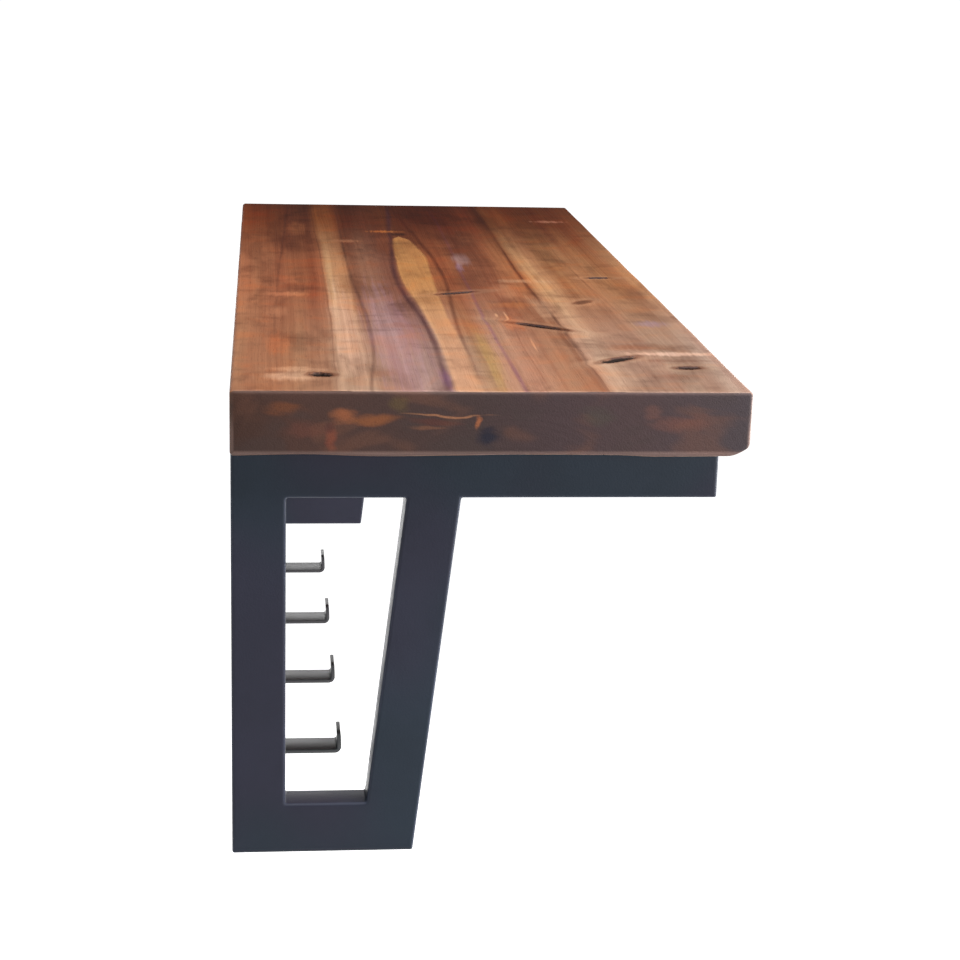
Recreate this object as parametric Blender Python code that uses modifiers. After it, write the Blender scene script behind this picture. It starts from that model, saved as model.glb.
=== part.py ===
"""A wall-hung entryway bench: a thick wood seat on two welded tube brackets, with a rail of flat-bar hooks
between the brackets.

Metres, +Z up. The wall is the plane y = 0 and the bench stands out from it towards -Y. X runs along the
seat. The origin is the middle of the hook rail's back face, on the wall.
"""

import math

import bmesh
import bpy
from mathutils import Vector

# Seat: one plank, 36 x 14 x 1 3/4 in.
SEAT_LENGTH = 0.9144
SEAT_DEPTH = 0.3556
SEAT_THICKNESS = 0.04445
SEAT_ARRIS = 0.0025

# Bracket tube: 1 1/2 x 1 in rectangular steel tube, its wide face turned to the bench's ends.
TUBE_FACE = 0.0381
TUBE_WIDTH = 0.0254
TUBE_WALL = 0.0021
TUBE_CORNER = 0.003
CORNER_STEPS = 3
END_PLATE = 0.002

# Bracket outline, seen from the bench's end.
BRACKET_HEIGHT = 0.3048
BRACKET_INSET = 0.028
ARM_REACH = 0.3403
BRACE_FOOT_REACH = 0.1304
BRACE_HEAD_REACH = 0.1598

# Hook rail and hooks: flat bar, each hook bent from one strip.
RAIL_HEIGHT = TUBE_FACE
RAIL_THICKNESS = 0.006
HOOK_COUNT = 4
HOOK_SPACING = 0.158
HOOK_WIDTH = 0.0254
HOOK_THICKNESS = 0.0032
HOOK_REACH = 0.085
HOOK_TIP_RISE = 0.0184
HOOK_TIP_CURL = 0.0007
HOOK_TIP_STEPS = 3
HOOK_BEND = 0.0055
HOOK_BEND_STEPS = 5
HOOK_CLEAR_OF_BOTTOM = 0.0014
HOOK_BACK_HEIGHT = 0.0345

# Fasteners.
HOOK_SCREW_RADIUS = 0.002
HOOK_SCREW_HEAD_RADIUS = 0.004
HOOK_SCREW_LENGTH = 0.008
HOOK_SCREW_RISES = {"lower": 0.011, "upper": 0.027}
SEAT_SCREW_RADIUS = 0.003
SEAT_SCREW_LENGTH = 0.038
SEAT_SCREW_HEAD_RADIUS = 0.005
SEAT_SCREW_HEAD_HEIGHT = 0.004
SEAT_SCREW_HEAD_CHAMFER = 0.001
SEAT_SCREW_REACHES = (0.080, 0.205, 0.300)
WASHER_RADIUS = 0.0065
WASHER_THICKNESS = 0.0013
ACCESS_HOLE_RADIUS = 0.0075
WALL_HOLE_RADIUS = 0.004
WALL_HOLE_DROPS = (0.075, 0.225)
RAIL_HOLE_SPACES = (-2, -1, 1, 2)
ROUND_STEPS = 16

# Space between pieces that touch, and how far a cutter runs past the face that it cuts.
GAP = 0.0003
OVERRUN = 0.002

# Each look is a colour, a roughness and a metallic value.
WOOD_LOOK = ((0.27, 0.12, 0.06), 0.45, 0.0)
STEEL_LOOK = ((0.045, 0.052, 0.068), 0.5, 0.0)
ZINC_LOOK = ((0.08, 0.08, 0.085), 0.35, 0.9)

BRACKET_X = SEAT_LENGTH / 2 - BRACKET_INSET - TUBE_WIDTH / 2
BOTTOM_Z = -RAIL_HEIGHT / 2
UNDERSIDE_Z = BOTTOM_Z + BRACKET_HEIGHT
ARM_TOP_Z = UNDERSIDE_Z - GAP
ARM_BOTTOM_Z = ARM_TOP_Z - TUBE_FACE
BRACE_SLOPE = (BRACE_HEAD_REACH - BRACE_FOOT_REACH) / (BRACKET_HEIGHT - TUBE_FACE)
BRACE_LEVEL_WIDTH = TUBE_FACE * math.hypot(1.0, BRACE_SLOPE)

for left_over in list(bpy.data.objects):
    bpy.data.objects.remove(left_over)

bench = bpy.data.collections.new("entryway_bench")
cutters = bpy.data.collections.new("cutters")
bpy.context.scene.collection.children.link(bench)
bpy.context.scene.collection.children.link(cutters)


def brace_front(z):
    """Distance from the wall to the brace's outer face at height z."""
    return BRACE_FOOT_REACH + BRACE_SLOPE * (z - BOTTOM_Z)


def new_material(name, colour, roughness, metallic):
    made = bpy.data.materials.new(name)
    made.use_nodes = True
    shader = made.node_tree.nodes["Principled BSDF"]
    shader.inputs["Base Color"].default_value = (*colour, 1.0)
    shader.inputs["Roughness"].default_value = roughness
    shader.inputs["Metallic"].default_value = metallic
    return made


def place(bm, name, location, parent, look=None):
    """Turns bm into an object. One without a look is a cutter."""
    mesh = bpy.data.meshes.new(name)
    bm.to_mesh(mesh)
    bm.free()
    made = bpy.data.objects.new(name, mesh)
    made.location = location
    made.parent = parent
    if look:
        mesh.materials.append(new_material(name, *look))
        bench.objects.link(made)
    else:
        made.hide_render = True
        made.display_type = "WIRE"
        cutters.objects.link(made)
    return made


def new_empty(name, location):
    made = bpy.data.objects.new(name, None)
    made.location = location
    bench.objects.link(made)
    return made


def cut(target, *tools):
    for tool in tools:
        boolean = target.modifiers.new("cut by " + tool.name, "BOOLEAN")
        boolean.operation = "DIFFERENCE"
        boolean.object = tool


def smooth(target, angle=30):
    target.data.shade_smooth()
    target.data.set_sharp_from_angle(angle=math.radians(angle))


def box_mesh(size):
    bm = bmesh.new()
    bmesh.ops.create_cube(bm, size=1.0)
    bmesh.ops.scale(bm, vec=Vector(size), verts=bm.verts)
    return bm


def round_long_edges(bm, axis, radius, steps):
    """Rounds the four edges of a box that run along one axis: 0, 1 or 2."""
    runs = []
    for edge in bm.edges:
        run = edge.verts[1].co - edge.verts[0].co
        if abs(run[axis]) > 0.99 * run.length:
            runs.append(edge)
    bmesh.ops.bevel(bm, geom=runs, offset=radius, segments=steps, profile=0.5, affect="EDGES")


def tube(name, size, axis, location, parent, look, shape=None):
    """A hollow rectangular tube with open ends, running along one axis. shape moves its corners, as for a
    slanted tube or a slanted end."""
    bm = box_mesh(size)
    round_long_edges(bm, axis, TUBE_CORNER, CORNER_STEPS)
    ends = [face for face in bm.faces if abs(face.normal[axis]) > 0.99]
    bmesh.ops.delete(bm, geom=ends, context="FACES_ONLY")
    for vert in bm.verts:
        if shape:
            shape(vert.co)
    made = place(bm, name, location, parent, look)
    wall = made.modifiers.new("wall", "SOLIDIFY")
    wall.thickness = TUBE_WALL
    wall.offset = -1.0
    wall.use_even_offset = True
    smooth(made)
    return made


def end_plate(name, size, axis, location, parent, look):
    """The plate that closes a tube's end, its thickness along one axis."""
    bm = box_mesh(size)
    round_long_edges(bm, axis, TUBE_CORNER, CORNER_STEPS)
    return place(bm, name, location, parent, look)


def turned(name, profile, location, parent, look=None, along_y=False):
    """A turned piece from points (radius, height) that run down its outer side, top to bottom. along_y lays
    its top towards +Y."""
    bm = bmesh.new()
    verts = [bm.verts.new((radius, 0.0, height)) for radius, height in profile]
    for upper, lower in zip(verts, verts[1:]):
        bm.edges.new((upper, lower))
    made = place(bm, name, location, parent, look)
    turn = made.modifiers.new("turn", "SCREW")
    turn.axis = "Z"
    turn.steps = ROUND_STEPS
    turn.render_steps = ROUND_STEPS
    turn.use_merge_vertices = True
    turn.merge_threshold = 0.00001
    if along_y:
        made.rotation_euler = (-math.pi / 2, 0.0, 0.0)
    return made


def rod(radius, top, bottom=0.0):
    """Profile of a plain rod."""
    return [(0.0, top), (radius, top), (radius, bottom), (0.0, bottom)]


def bend(centre, radius, start, stop):
    """Points (y, z) on an arc, its angles in degrees."""
    angles = [start + (stop - start) * i / HOOK_BEND_STEPS for i in range(HOOK_BEND_STEPS + 1)]
    return [
        (centre[0] + radius * math.cos(math.radians(a)), centre[1] + radius * math.sin(math.radians(a)))
        for a in angles
    ]


def make_seat(parent):
    bm = box_mesh((SEAT_LENGTH, SEAT_DEPTH, SEAT_THICKNESS))
    middle = (0.0, -SEAT_DEPTH / 2, UNDERSIDE_Z + SEAT_THICKNESS / 2)
    seat = place(bm, "seat_slab", middle, parent, WOOD_LOOK)
    arris = seat.modifiers.new("arris", "BEVEL")
    arris.width = SEAT_ARRIS
    arris.segments = 2
    smooth(seat)
    return seat


def make_bracket(side, direction, parent):
    """Post, arm, brace and foot of one bracket, with the plates that close its open ends."""
    frame = new_empty(side + "_bracket", (direction * BRACKET_X, 0.0, 0.0))
    frame.parent = parent

    plate_top = BOTTOM_Z + END_PLATE
    post_low = plate_top + GAP
    post_size = (TUBE_WIDTH, TUBE_FACE, ARM_TOP_Z - post_low)
    post_middle = (0.0, -TUBE_FACE / 2, (ARM_TOP_Z + post_low) / 2)
    post = tube(side + "_post", post_size, 2, post_middle, frame, STEEL_LOOK)
    plate_size = (TUBE_WIDTH, TUBE_FACE, END_PLATE)
    plate_middle = (0.0, -TUBE_FACE / 2, BOTTOM_Z + END_PLATE / 2)
    end_plate(side + "_post_end_plate", plate_size, 2, plate_middle, frame, STEEL_LOOK)

    arm_back = TUBE_FACE + GAP
    arm_front = ARM_REACH - END_PLATE - GAP
    arm_size = (TUBE_WIDTH, arm_front - arm_back, TUBE_FACE)
    arm_middle = (0.0, -(arm_front + arm_back) / 2, ARM_TOP_Z - TUBE_FACE / 2)
    arm = tube(side + "_arm", arm_size, 1, arm_middle, frame, STEEL_LOOK)
    plate_size = (TUBE_WIDTH, END_PLATE, TUBE_FACE)
    plate_middle = (0.0, -ARM_REACH + END_PLATE / 2, ARM_TOP_Z - TUBE_FACE / 2)
    end_plate(side + "_arm_end_plate", plate_size, 1, plate_middle, frame, STEEL_LOOK)

    def slant(corner):
        corner.y -= BRACE_SLOPE * corner.z

    brace_top = ARM_BOTTOM_Z - GAP
    brace_height = brace_top - post_low
    brace_middle_z = (brace_top + post_low) / 2
    brace_middle_y = -brace_front(brace_middle_z) + BRACE_LEVEL_WIDTH / 2
    brace_size = (TUBE_WIDTH, BRACE_LEVEL_WIDTH, brace_height)
    brace_middle = (0.0, brace_middle_y, brace_middle_z)
    tube(side + "_brace", brace_size, 2, brace_middle, frame, STEEL_LOOK, slant)
    plate_size = (TUBE_WIDTH, BRACE_LEVEL_WIDTH, END_PLATE)
    plate_middle = (0.0, -BRACE_FOOT_REACH + BRACE_LEVEL_WIDTH / 2, BOTTOM_Z + END_PLATE / 2)
    end_plate(side + "_brace_end_plate", plate_size, 2, plate_middle, frame, STEEL_LOOK)

    foot_back = TUBE_FACE + GAP
    foot_front = BRACE_FOOT_REACH - BRACE_LEVEL_WIDTH - GAP
    foot_length = foot_front - foot_back

    def slant_front(corner):
        if corner.y < 0.0:
            corner.y -= BRACE_SLOPE * (corner.z + TUBE_FACE / 2)

    foot_size = (TUBE_WIDTH, foot_length, TUBE_FACE)
    foot_middle = (0.0, -(foot_front + foot_back) / 2, BOTTOM_Z + TUBE_FACE / 2)
    tube(side + "_foot", foot_size, 1, foot_middle, frame, STEEL_LOOK, slant_front)

    for drop in WALL_HOLE_DROPS:
        hole = rod(WALL_HOLE_RADIUS, OVERRUN, -TUBE_FACE - OVERRUN)
        spot = (0.0, 0.0, UNDERSIDE_Z - drop)
        cut(post, turned(f"{side}_wall_hole_{drop}", hole, spot, frame, along_y=True))
    return frame, arm


def fasten_seat(side, frame, arm, seat):
    """Screws with washers, their heads inside the arm, up through its top wall into the seat. Each goes in
    and is driven through a wider hole in the arm's bottom wall."""
    washer_top = ARM_TOP_Z - TUBE_WALL - GAP
    head_top = washer_top - WASHER_THICKNESS - GAP
    shank = SEAT_SCREW_RADIUS
    head = SEAT_SCREW_HEAD_RADIUS
    head_bottom = -SEAT_SCREW_HEAD_HEIGHT
    screw_profile = [
        (0.0, SEAT_SCREW_LENGTH),
        (shank, SEAT_SCREW_LENGTH - 2 * shank),
        (shank, 0.0),
        (head, 0.0),
        (head, head_bottom + SEAT_SCREW_HEAD_CHAMFER),
        (head - SEAT_SCREW_HEAD_CHAMFER, head_bottom),
        (0.0, head_bottom),
    ]
    bore = shank + GAP
    washer_profile = [
        (bore, 0.0),
        (WASHER_RADIUS, 0.0),
        (WASHER_RADIUS, -WASHER_THICKNESS),
        (bore, -WASHER_THICKNESS),
        (bore, 0.0),
    ]
    way_in = rod(ACCESS_HOLE_RADIUS, TUBE_WALL + OVERRUN, -OVERRUN)
    for number, reach in enumerate(SEAT_SCREW_REACHES, 1):
        turned(f"{side}_seat_screw_{number}", screw_profile, (0.0, -reach, head_top), frame, ZINC_LOOK)
        turned(f"{side}_seat_washer_{number}", washer_profile, (0.0, -reach, washer_top), frame, ZINC_LOOK)
        hole = rod(bore, SEAT_SCREW_LENGTH + 2 * GAP, -2 * GAP)
        drill = turned(f"{side}_seat_hole_{number}", hole, (0.0, -reach, head_top), frame)
        spot = (0.0, -reach, ARM_BOTTOM_Z)
        access = turned(f"{side}_access_hole_{number}", way_in, spot, frame)
        cut(arm, drill, access)
        cut(seat, drill)


def make_rail(parent):
    length = 2 * (BRACKET_X - TUBE_WIDTH / 2 - GAP)
    bm = box_mesh((length, RAIL_THICKNESS, RAIL_HEIGHT))
    rail = place(bm, "hook_rail", (0.0, -RAIL_THICKNESS / 2, 0.0), parent, STEEL_LOOK)
    hole = rod(WALL_HOLE_RADIUS, OVERRUN, -RAIL_THICKNESS - OVERRUN)
    for spaces in RAIL_HOLE_SPACES:
        spot = (spaces * HOOK_SPACING, 0.0, 0.0)
        cut(rail, turned(f"rail_wall_hole_{spaces}", hole, spot, parent, along_y=True))
    return rail


def hook_path():
    """The hook's outer line (y, z) from the top of its back, round both bends, to its tip, which curls back
    a little towards the wall. It starts from its own origin at the foot of the rail's front face."""
    front = -(HOOK_REACH - RAIL_THICKNESS - GAP)
    path = [(0.0, HOOK_BACK_HEIGHT)]
    path += bend((-HOOK_BEND, HOOK_BEND), HOOK_BEND, 0, -90)
    path += bend((front + HOOK_BEND, HOOK_BEND), HOOK_BEND, -90, -180)
    for step in range(1, HOOK_TIP_STEPS + 1):
        share = step / HOOK_TIP_STEPS
        path.append((front + HOOK_TIP_CURL * share**2, HOOK_BEND + (HOOK_TIP_RISE - HOOK_BEND) * share))
    return path


def make_hook(number, x, parent, rail):
    """One bent strip, and the two countersunk screws that hold its back to the rail."""
    back_y = -RAIL_THICKNESS - GAP
    foot_z = BOTTOM_Z + HOOK_CLEAR_OF_BOTTOM
    bm = bmesh.new()
    verts = [bm.verts.new((HOOK_WIDTH / 2, y, z)) for y, z in hook_path()]
    edges = [bm.edges.new(pair) for pair in zip(verts, verts[1:])]
    grown = bmesh.ops.extrude_edge_only(bm, edges=edges)["geom"]
    far_side = [item for item in grown if isinstance(item, bmesh.types.BMVert)]
    bmesh.ops.translate(bm, vec=Vector((-HOOK_WIDTH, 0.0, 0.0)), verts=far_side)
    hook = place(bm, f"hook_{number}", (x, back_y, foot_z), parent, STEEL_LOOK)
    strip = hook.modifiers.new("strip", "SOLIDIFY")
    strip.thickness = HOOK_THICKNESS
    strip.offset = 1.0
    strip.use_even_offset = True
    smooth(hook)

    shank = HOOK_SCREW_RADIUS
    head = HOOK_SCREW_HEAD_RADIUS
    taper = head - shank
    screw_profile = [
        (0.0, HOOK_SCREW_LENGTH),
        (shank, HOOK_SCREW_LENGTH),
        (shank, taper),
        (head, 0.0),
        (0.0, 0.0),
    ]
    through = HOOK_THICKNESS + RAIL_THICKNESS + OVERRUN
    sink_profile = [
        (0.0, through),
        (shank + GAP, through),
        (shank + GAP, taper),
        (head + GAP, 0.0),
        (head + GAP, -OVERRUN),
        (0.0, -OVERRUN),
    ]
    for level, rise in HOOK_SCREW_RISES.items():
        spot = (x, back_y - HOOK_THICKNESS, foot_z + rise)
        turned(f"hook_{number}_{level}_screw", screw_profile, spot, parent, ZINC_LOOK, along_y=True)
        sink = turned(f"hook_{number}_{level}_sink", sink_profile, spot, parent, along_y=True)
        cut(hook, sink)
        cut(rail, sink)


wall_origin = new_empty("wall_origin", (0.0, 0.0, 0.0))
seat_slab = make_seat(wall_origin)
for side_name, side_direction in (("left", -1), ("right", 1)):
    side_frame, side_arm = make_bracket(side_name, side_direction, wall_origin)
    fasten_seat(side_name, side_frame, side_arm, seat_slab)
hook_rail = make_rail(wall_origin)
for hook_number in range(1, HOOK_COUNT + 1):
    hook_x = (hook_number - (HOOK_COUNT + 1) / 2) * HOOK_SPACING
    make_hook(hook_number, hook_x, wall_origin, hook_rail)
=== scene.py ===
"""Looks of the wall-hung entryway bench: a seat of one plank with knots and cracks, two powder-coated tube
brackets with their welds ground smooth, a hook rail, four bent hooks and their screws.

Metres, in the frame's own axes: the wall is y = 0, the bench stands out towards -Y, and X runs along the
seat. The seat's near end, the one that the camera looks at, is the -X end.
"""

import math

import bmesh
import bpy
from mathutils import Matrix, Vector, noise


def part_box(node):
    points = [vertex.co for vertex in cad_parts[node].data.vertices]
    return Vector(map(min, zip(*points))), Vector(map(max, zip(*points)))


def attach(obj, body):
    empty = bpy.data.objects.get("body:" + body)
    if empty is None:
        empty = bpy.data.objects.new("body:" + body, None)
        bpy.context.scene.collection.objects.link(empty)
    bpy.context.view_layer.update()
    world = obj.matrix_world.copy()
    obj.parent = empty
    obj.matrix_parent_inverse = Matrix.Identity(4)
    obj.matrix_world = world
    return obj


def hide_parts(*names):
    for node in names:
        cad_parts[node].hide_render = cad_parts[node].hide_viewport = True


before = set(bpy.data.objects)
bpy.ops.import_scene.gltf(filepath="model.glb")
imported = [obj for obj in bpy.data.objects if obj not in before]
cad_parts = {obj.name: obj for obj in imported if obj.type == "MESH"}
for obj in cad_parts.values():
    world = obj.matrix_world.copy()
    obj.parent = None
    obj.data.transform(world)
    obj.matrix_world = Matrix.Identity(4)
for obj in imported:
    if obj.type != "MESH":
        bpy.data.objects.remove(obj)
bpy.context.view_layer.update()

SIDES = ("left", "right")
BRACKET_PARTS = ("post", "arm", "brace", "foot", "post_end_plate", "arm_end_plate", "brace_end_plate")
HOOK_NUMBERS = (1, 2, 3, 4)
SEAT_SCREW_NUMBERS = (1, 2, 3)

# ---------------------------------------------------------------------------------------------- helpers


def srgb(red, green, blue):
    """A colour given as 0-255 screen values, as the linear values that shaders take."""
    linear = []
    for value in (red, green, blue):
        share = value / 255
        linear.append(share / 12.92 if share <= 0.04045 else ((share + 0.055) / 1.055) ** 2.4)
    return tuple(linear)


def mesh_object(bm, name):
    """An object with bm's mesh, its faces turned outwards. bm is used up."""
    mesh = bpy.data.meshes.new(name)
    bmesh.ops.recalc_face_normals(bm, faces=bm.faces)
    bm.to_mesh(mesh)
    bm.free()
    made = bpy.data.objects.new(name, mesh)
    bpy.context.scene.collection.objects.link(made)
    return made


def finish_piece(bm, name, material, nodes, sharp_angle=35):
    """Turns bm into a shown piece that rides on the frame's one body and stands for its CAD nodes."""
    piece = mesh_object(bm, name)
    piece.data.materials.append(material)
    piece.data.shade_smooth()
    piece.data.set_sharp_from_angle(angle=math.radians(sharp_angle))
    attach(piece, "root")
    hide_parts(*nodes)


def cut(bm, cutters, operation="DIFFERENCE"):
    """bm with the cutters' shapes taken out of it, or only what they share with it, as a new bmesh."""
    body = mesh_object(bm, "uncut")
    tools = [mesh_object(cutter, "cutter") for cutter in cutters]
    for tool in tools:
        boolean = body.modifiers.new("cut", "BOOLEAN")
        boolean.operation = operation
        boolean.solver = "EXACT"
        boolean.object = tool
    graph = bpy.context.evaluated_depsgraph_get()
    mesh = bpy.data.meshes.new_from_object(body.evaluated_get(graph))
    result = bmesh.new()
    result.from_mesh(mesh)
    bpy.data.meshes.remove(mesh)
    for helper in (body, *tools):
        data = helper.data
        bpy.data.objects.remove(helper)
        bpy.data.meshes.remove(data)
    return result


def skin(bm, loops):
    """Four-sided faces between each closed loop of vertices and the next."""
    for lower, upper in zip(loops, loops[1:]):
        for i in range(len(lower)):
            j = (i + 1) % len(lower)
            bm.faces.new((lower[i], lower[j], upper[j], upper[i]))


def loft(rings, bm=None):
    """A closed solid through rings of points, each with the same count, its two ends filled."""
    bm = bm or bmesh.new()
    loops = [[bm.verts.new(point) for point in ring] for ring in rings]
    skin(bm, loops)
    bm.faces.new(list(reversed(loops[0])))
    bm.faces.new(loops[-1])
    return bm


def rings_about(profile, centre, axis, steps, turn=0.0):
    """Rings of points for (radius, height) pairs about an axis, 1 for Y or 2 for Z, through centre."""
    rings = []
    for radius, height in profile:
        ring = []
        for i in range(steps):
            angle = turn + 2 * math.pi * i / steps
            side, other = radius * math.cos(angle), radius * math.sin(angle)
            offset = Vector((side, other, height)) if axis == 2 else Vector((side, height, -other))
            ring.append(centre + offset)
        rings.append(ring)
    return rings


def turned(profile, centre, axis, steps=32):
    """A solid turned from (radius, height) pairs."""
    return loft(rings_about(profile, centre, axis, steps))


def arc(centre, radius, start, stop, steps):
    """Points on an arc in a plane, its angles in degrees."""
    points = []
    for i in range(steps + 1):
        angle = math.radians(start + (stop - start) * i / steps)
        points.append((centre[0] + radius * math.cos(angle), centre[1] + radius * math.sin(angle)))
    return points


def bevel_sharp(bm, width, segments, angle=40):
    """Rounds every edge where two faces meet at more than the angle."""
    limit = math.radians(angle)
    edges = [edge for edge in bm.edges if edge.is_manifold and edge.calc_face_angle() > limit]
    bmesh.ops.bevel(
        bm, geom=edges, offset=width, segments=segments, profile=0.5, affect="EDGES", clamp_overlap=True
    )


# -------------------------------------------------------------------------------------------- materials


class Shader:
    """A node material, with short calls for the nodes that the looks below are made of."""

    def __init__(self, name):
        self.material = bpy.data.materials.new(name)
        self.material.use_nodes = True
        self.tree = self.material.node_tree
        self.surface = self.tree.nodes["Principled BSDF"]

    def feed(self, socket, value):
        if isinstance(value, bpy.types.NodeSocket):
            self.tree.links.new(value, socket)
        elif isinstance(value, tuple) and len(value) == 3 and socket.type == "RGBA":
            socket.default_value = (*value, 1.0)
        else:
            socket.default_value = value

    def set(self, **values):
        """Sets the surface's inputs, by name with spaces as underscores."""
        for name, value in values.items():
            self.feed(self.surface.inputs[name.replace("_", " ")], value)

    def place(self):
        node = self.tree.nodes.new("ShaderNodeTexCoord")
        return node.outputs["Object"], node.outputs["Normal"]

    def split(self, vector):
        node = self.tree.nodes.new("ShaderNodeSeparateXYZ")
        self.feed(node.inputs[0], vector)
        return node.outputs

    def join(self, x, y, z):
        node = self.tree.nodes.new("ShaderNodeCombineXYZ")
        for socket, value in zip(node.inputs, (x, y, z)):
            self.feed(socket, value)
        return node.outputs[0]

    def math(self, operation, *values, kind="ShaderNodeMath"):
        node = self.tree.nodes.new(kind)
        node.operation = operation
        for socket, value in zip(node.inputs, values):
            self.feed(socket, value)
        return node.outputs[0]

    def stretch(self, vector, scale):
        return self.math("MULTIPLY", vector, scale, kind="ShaderNodeVectorMath")

    def shift(self, vector, offset):
        return self.math("ADD", vector, offset, kind="ShaderNodeVectorMath")

    def add(self, *values):
        total = values[0]
        for value in values[1:]:
            total = self.math("ADD", total, value)
        return total

    def times(self, *values):
        total = values[0]
        for value in values[1:]:
            total = self.math("MULTIPLY", total, value)
        return total

    def less(self, first, second):
        return self.math("SUBTRACT", first, second)

    def apart(self, first, second):
        return self.math("ABSOLUTE", self.less(first, second))

    def reach(self, a, b):
        """The length of a line that goes a one way and b the other."""
        return self.math("SQRT", self.add(self.math("POWER", a, 2.0), self.math("POWER", b, 2.0)))

    def span(self, value, low, high, to_low=0.0, to_high=1.0, smooth=True):
        """value from low..high to to_low..to_high, held at both ends."""
        node = self.tree.nodes.new("ShaderNodeMapRange")
        node.interpolation_type = "SMOOTHSTEP" if smooth else "LINEAR"
        for socket, number in zip(node.inputs, (value, low, high, to_low, to_high)):
            self.feed(socket, number)
        return node.outputs[0]

    def noise(self, vector, scale=1.0, detail=2.0, roughness=0.5, distortion=0.0):
        node = self.tree.nodes.new("ShaderNodeTexNoise")
        self.feed(node.inputs["Vector"], vector)
        self.feed(node.inputs["Scale"], scale)
        self.feed(node.inputs["Detail"], detail)
        self.feed(node.inputs["Roughness"], roughness)
        self.feed(node.inputs["Distortion"], distortion)
        return node.outputs[0]

    def swing(self, vector, amount, **settings):
        """Noise about zero."""
        return self.times(self.less(self.noise(vector, **settings), 0.5), 2 * amount)

    def curve(self, value, points):
        """A smooth curve through (value, result) points, both from 0 to 1."""
        node = self.tree.nodes.new("ShaderNodeFloatCurve")
        line = node.mapping.curves[0]
        for x, y in points[1:-1]:
            line.points.new(x, y)
        line.points[0].location = points[0]
        line.points[-1].location = points[-1]
        node.mapping.update()
        self.feed(node.inputs["Value"], value)
        return node.outputs[0]

    def spot(self, across, up, centre, half, ragged):
        """1 in the middle of a soft ellipse, and 0 outside it."""
        a = self.times(self.less(across, centre[0]), 1 / half[0])
        b = self.times(self.less(up, centre[1]), 1 / half[1])
        r = self.math("SQRT", self.add(self.times(a, a), self.times(b, b)))
        return self.span(self.add(r, ragged), 0.25, 1.15, 1.0, 0.0)

    def ramp(self, value, stops):
        node = self.tree.nodes.new("ShaderNodeValToRGB")
        elements = node.color_ramp.elements
        for spot, _ in stops[1:-1]:
            elements.new(spot)
        for element, (spot, colour) in zip(elements, stops):
            element.position = spot
            element.color = (*colour, 1.0)
        self.feed(node.inputs[0], value)
        return node.outputs[0]

    def mix(self, factor, first, second, blend="MIX"):
        node = self.tree.nodes.new("ShaderNodeMix")
        node.data_type = "RGBA"
        node.blend_type = blend
        self.feed(node.inputs[0], factor)
        self.feed(node.inputs[6], first)
        self.feed(node.inputs[7], second)
        return node.outputs[2]

    def bump(self, height, distance, strength):
        node = self.tree.nodes.new("ShaderNodeBump")
        self.feed(node.inputs["Height"], height)
        self.feed(node.inputs["Distance"], distance)
        self.feed(node.inputs["Strength"], strength)
        return node.outputs[0]


# Knots and cracks in the seat's top: share of the length from the near end, share of the depth from the
# wall, length and width, depth (0 for a knot that is closed), and turn in degrees.
KNOTS = {
    "wall_side_hole": (0.055, 0.175, 0.013, 0.017, 0.006, 8),
    "front_hole": (0.085, 0.915, 0.010, 0.019, 0.007, -6),
    "front_knot": (0.115, 0.785, 0.036, 0.011, 0.003, 52),
    "long_crack": (0.250, 0.668, 0.048, 0.010, 0.006, -53),
    "middle_crack": (0.408, 0.522, 0.032, 0.008, 0.005, 64),
    "front_slit": (0.497, 0.897, 0.019, 0.007, 0.005, 84),
    "ringed_knot": (0.366, 0.808, 0.019, 0.009, 0.0, 40),
}

# Every colour in the tables below is given as 0-255 screen values.

# Colours across the seat, from the wall to the front, at its near end, middle and far end. The near end's
# paler, greyer colours are partly a painted sheen, and the far end's much darker colours are partly painted
# shade where the light falls off; the rest is the wood's own colour.
NEAR_BANDS = (
    (-0.20, (140, 98, 74)),
    (0.00, (168, 116, 84)),
    (0.12, (164, 113, 81)),
    (0.195, (172, 128, 98)),
    (0.212, (192, 155, 126)),
    (0.270, (184, 149, 124)),
    (0.290, (166, 128, 106)),
    (0.340, (180, 143, 128)),
    (0.400, (154, 119, 110)),
    (0.440, (186, 147, 122)),
    (0.480, (182, 140, 112)),
    (0.510, (168, 127, 92)),
    (0.540, (186, 145, 118)),
    (0.590, (182, 134, 107)),
    (0.650, (172, 126, 96)),
    (0.705, (160, 116, 88)),
    (0.725, (194, 157, 131)),
    (0.780, (180, 145, 121)),
    (0.830, (170, 136, 114)),
    (0.930, (166, 132, 111)),
    (1.000, (190, 160, 142)),
)
MIDDLE_BANDS = (
    (-0.20, (120, 72, 50)),
    (0.00, (172, 110, 79)),
    (0.09, (152, 95, 67)),
    (0.18, (136, 76, 50)),
    (0.205, (160, 100, 70)),
    (0.220, (188, 142, 106)),
    (0.265, (182, 134, 98)),
    (0.283, (134, 86, 64)),
    (0.330, (136, 92, 74)),
    (0.385, (124, 79, 62)),
    (0.480, (146, 86, 54)),
    (0.530, (146, 84, 54)),
    (0.565, (130, 76, 54)),
    (0.620, (143, 88, 62)),
    (0.675, (163, 102, 68)),
    (0.705, (146, 88, 56)),
    (0.728, (187, 140, 102)),
    (0.765, (183, 133, 97)),
    (0.800, (156, 106, 71)),
    (0.860, (164, 114, 80)),
    (0.930, (148, 96, 63)),
    (1.000, (178, 128, 94)),
)
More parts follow.
